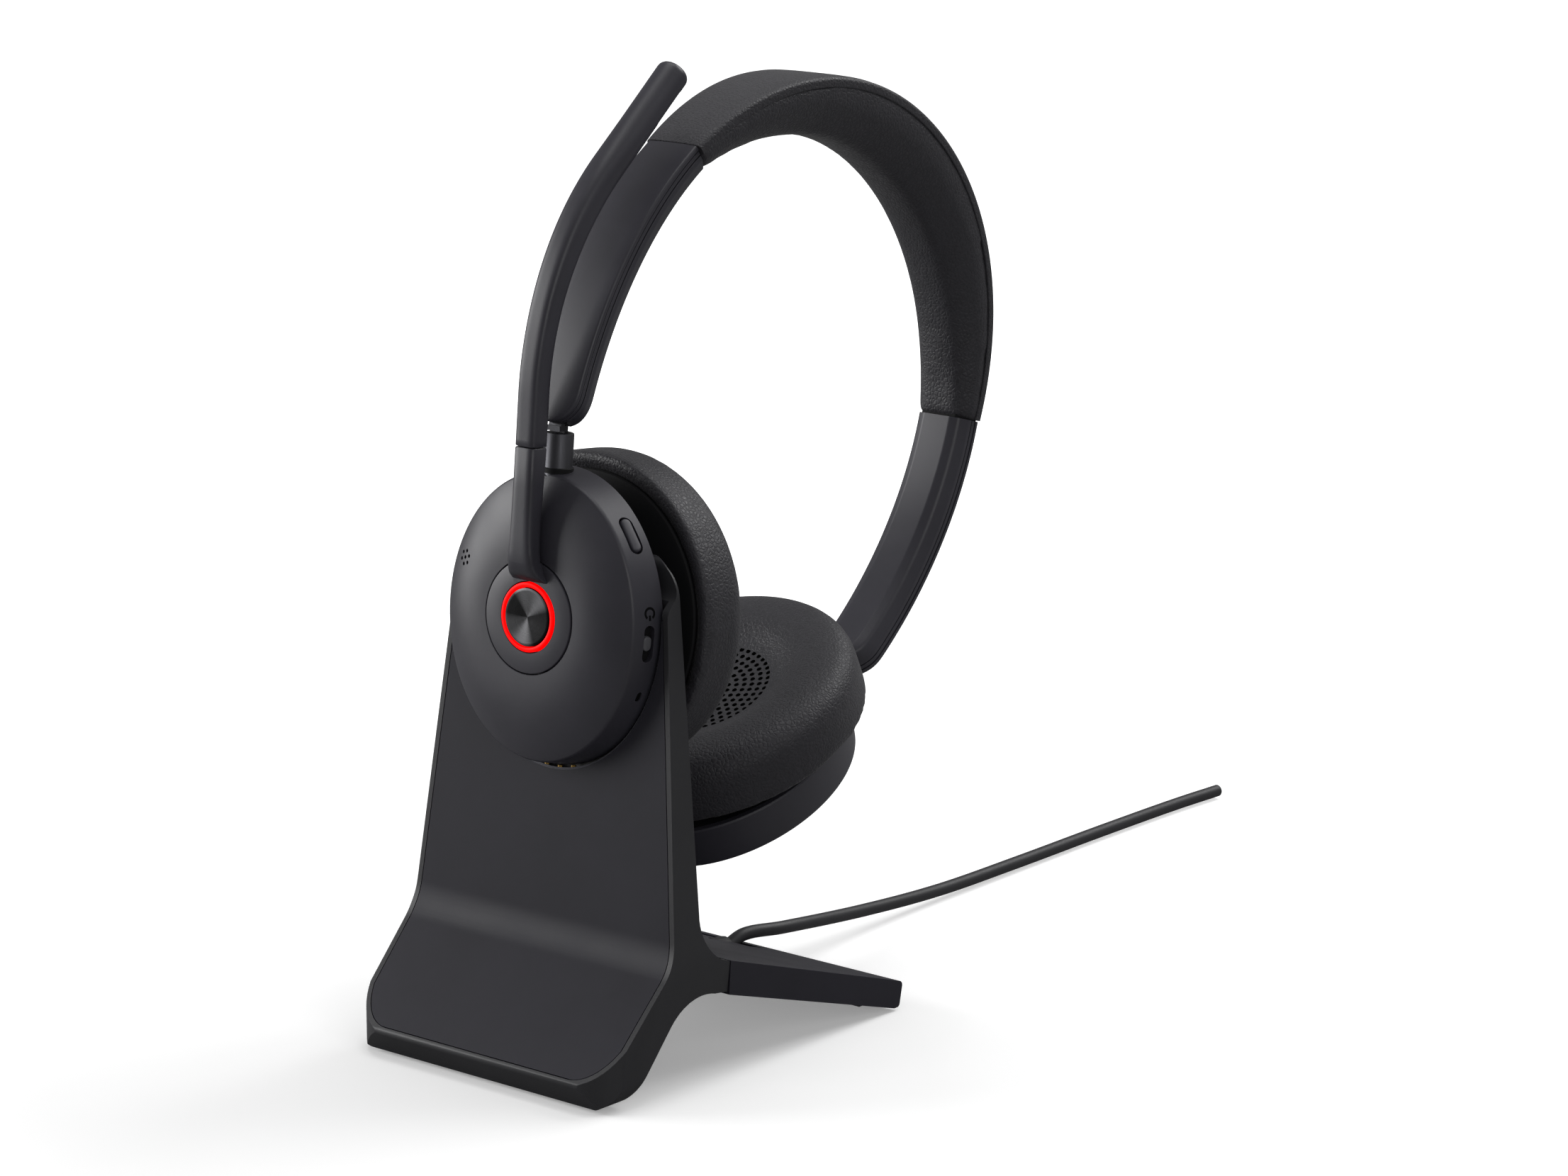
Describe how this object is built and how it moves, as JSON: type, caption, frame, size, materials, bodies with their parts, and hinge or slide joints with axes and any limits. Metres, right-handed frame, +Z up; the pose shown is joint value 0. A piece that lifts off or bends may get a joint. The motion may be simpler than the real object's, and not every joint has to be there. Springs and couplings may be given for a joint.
{
  "type": "headset on charging stand",
  "caption": "On-ear office headset with a swinging microphone boom, hanging by one ear cup in an upright wedge-footed charging stand with a lead.",
  "frame": {"origin": "centre of the underside of the stand's front rubber pad, on the desk, in the stand's middle plane", "axes": "+X to the right seen from the front, +Y from the stand's front edge to the back, +Z up"},
  "size_m": [0.08, 0.3023, 0.2236],
  "materials": {
    "charcoal_plastic": "fine matt texture, dark charcoal",
    "black_plastic": "satin black",
    "leatherette": "fine-grained matt black leatherette",
    "rubber": "matt black rubber",
    "satin_post": "satin grey",
    "steel": "plain steel",
    "spun_metal": "dark, spun in fine circles",
    "contact_gold": "gold plated",
    "red_light": "translucent red light guide",
    "circuit_board": "green board",
    "silver_foil": "silver wrap",
    "cable_jacket": "satin black jacket",
    "mesh": "dark acoustic mesh",
    "clear_plastic": "diffusing clear plastic"
  },
  "bodies": {
    "stand": {"stand_frame": "black_plastic", "front_panel": "charcoal_plastic", "rear_foot": "black_plastic", "foot_base_cover": "black_plastic", "weight_left": "steel", "weight_right": "steel", "base_screw_left": "steel", "base_screw_right": "steel", "front_pad": "rubber", "rear_pad_left": "rubber", "rear_pad_right": "rubber", "cable_grommet": "rubber", "usb_lead": "cable_jacket", "contact_block": "black_plastic", "charging_board": "circuit_board"},
    "contact_pin_1": {"contact_pin_1": "contact_gold"},
    "contact_pin_2": {"contact_pin_2": "contact_gold"},
    "contact_pin_3": {"contact_pin_3": "contact_gold"},
    "contact_pin_4": {"contact_pin_4": "contact_gold"},
    "near_cup": {"near_cup_cover": "charcoal_plastic", "near_cup_base": "black_plastic", "near_baffle": "black_plastic", "near_driver": "satin_post", "near_driver_grille": "black_plastic", "near_cushion_ring": "black_plastic", "near_cushion": "leatherette", "near_post_bush": "black_plastic", "near_circuit_board": "circuit_board", "hub_switch": "silver_foil", "status_light": "clear_plastic"},
    "mute_button": {"mute_button": "charcoal_plastic"},
    "power_slider": {"power_slider": "charcoal_plastic"},
    "boom": {"boom_base": "charcoal_plastic", "boom_arm": "charcoal_plastic", "boom_axle_clip": "steel", "light_ring": "red_light", "boom_microphone": "silver_foil", "microphone_mesh": "mesh"},
    "hub_button": {"hub_button": "spun_metal"},
    "near_slider": {"near_post": "satin_post", "near_slider_strip": "steel"},
    "headband": {"headband_cover": "leatherette", "headband_pad": "leatherette", "headband_spring": "steel", "near_arm_cover": "charcoal_plastic", "near_arm_liner": "charcoal_plastic", "far_arm_cover": "charcoal_plastic", "far_arm_liner": "charcoal_plastic"},
    "far_slider": {"far_post": "satin_post", "far_slider_strip": "steel"},
    "far_cup": {"far_cup_cover": "charcoal_plastic", "far_cup_base": "black_plastic", "far_baffle": "black_plastic", "far_driver": "satin_post", "far_driver_grille": "black_plastic", "far_cushion_ring": "black_plastic", "far_cushion": "leatherette", "far_post_bush": "black_plastic", "battery": "silver_foil"}
  },
  "joints": [
    {"name": "dock_lift", "type": "slide", "parent": "stand", "child": "near_cup", "axis": [0, 0.0941, 0.9956], "range_m": [0, 0.08]},
    {"name": "contact_pin_1_press", "type": "slide", "parent": "stand", "child": "contact_pin_1", "axis": [0, -0.0941, -0.9956], "range_m": [0, 0.0005], "stiffness_N_per_m": 5, "springref_m": -0.0003},
    {"name": "contact_pin_2_press", "type": "slide", "parent": "stand", "child": "contact_pin_2", "axis": [0, -0.0941, -0.9956], "range_m": [0, 0.0005], "stiffness_N_per_m": 5, "springref_m": -0.0003},
    {"name": "contact_pin_3_press", "type": "slide", "parent": "stand", "child": "contact_pin_3", "axis": [0, -0.0941, -0.9956], "range_m": [0, 0.0005], "stiffness_N_per_m": 5, "springref_m": -0.0003},
    {"name": "contact_pin_4_press", "type": "slide", "parent": "stand", "child": "contact_pin_4", "axis": [0, -0.0941, -0.9956], "range_m": [0, 0.0005], "stiffness_N_per_m": 5, "springref_m": -0.0003},
    {"name": "boom_rotate", "type": "hinge", "parent": "near_cup", "child": "boom", "pos_m": [0, 0.01357, 0.1041], "axis": [0, -0.9956, 0.0941], "range_deg": [-135, 135]},
    {"name": "hub_press", "type": "slide", "parent": "boom", "child": "hub_button", "axis": [0, 0.9956, -0.0941], "range_m": [0, 0.0007], "stiffness_N_per_m": 40, "springref_m": -0.0002},
    {"name": "mute_press", "type": "slide", "parent": "near_cup", "child": "mute_button", "axis": [-0.7915, 0.1478, -0.593], "range_m": [0, 0.0006], "stiffness_N_per_m": 15, "springref_m": -0.0003},
    {"name": "power_slide", "type": "slide", "parent": "near_cup", "child": "power_slider", "axis": [-0.0511, -0.094, -0.9943], "range_m": [-0.0021, 0.0021]},
    {"name": "near_swivel", "type": "hinge", "parent": "near_cup", "child": "near_slider", "pos_m": [0, 0.02404, 0.13626], "axis": [0, 0.0941, 0.9956], "range_deg": [-10, 10]},
    {"name": "near_extend", "type": "slide", "parent": "near_slider", "child": "headband", "axis": [0, 0.4195, 0.9077], "range_m": [0, 0.016]},
    {"name": "far_extend", "type": "slide", "parent": "headband", "child": "far_slider", "axis": [0, 0.7592, 0.6508], "range_m": [-0.015, 0]},
    {"name": "far_swivel", "type": "hinge", "parent": "far_slider", "child": "far_cup", "pos_m": [0, 0.11358, 0.06815], "axis": [0, 0.9063, 0.4226], "range_deg": [-10, 10]}
  ]
}
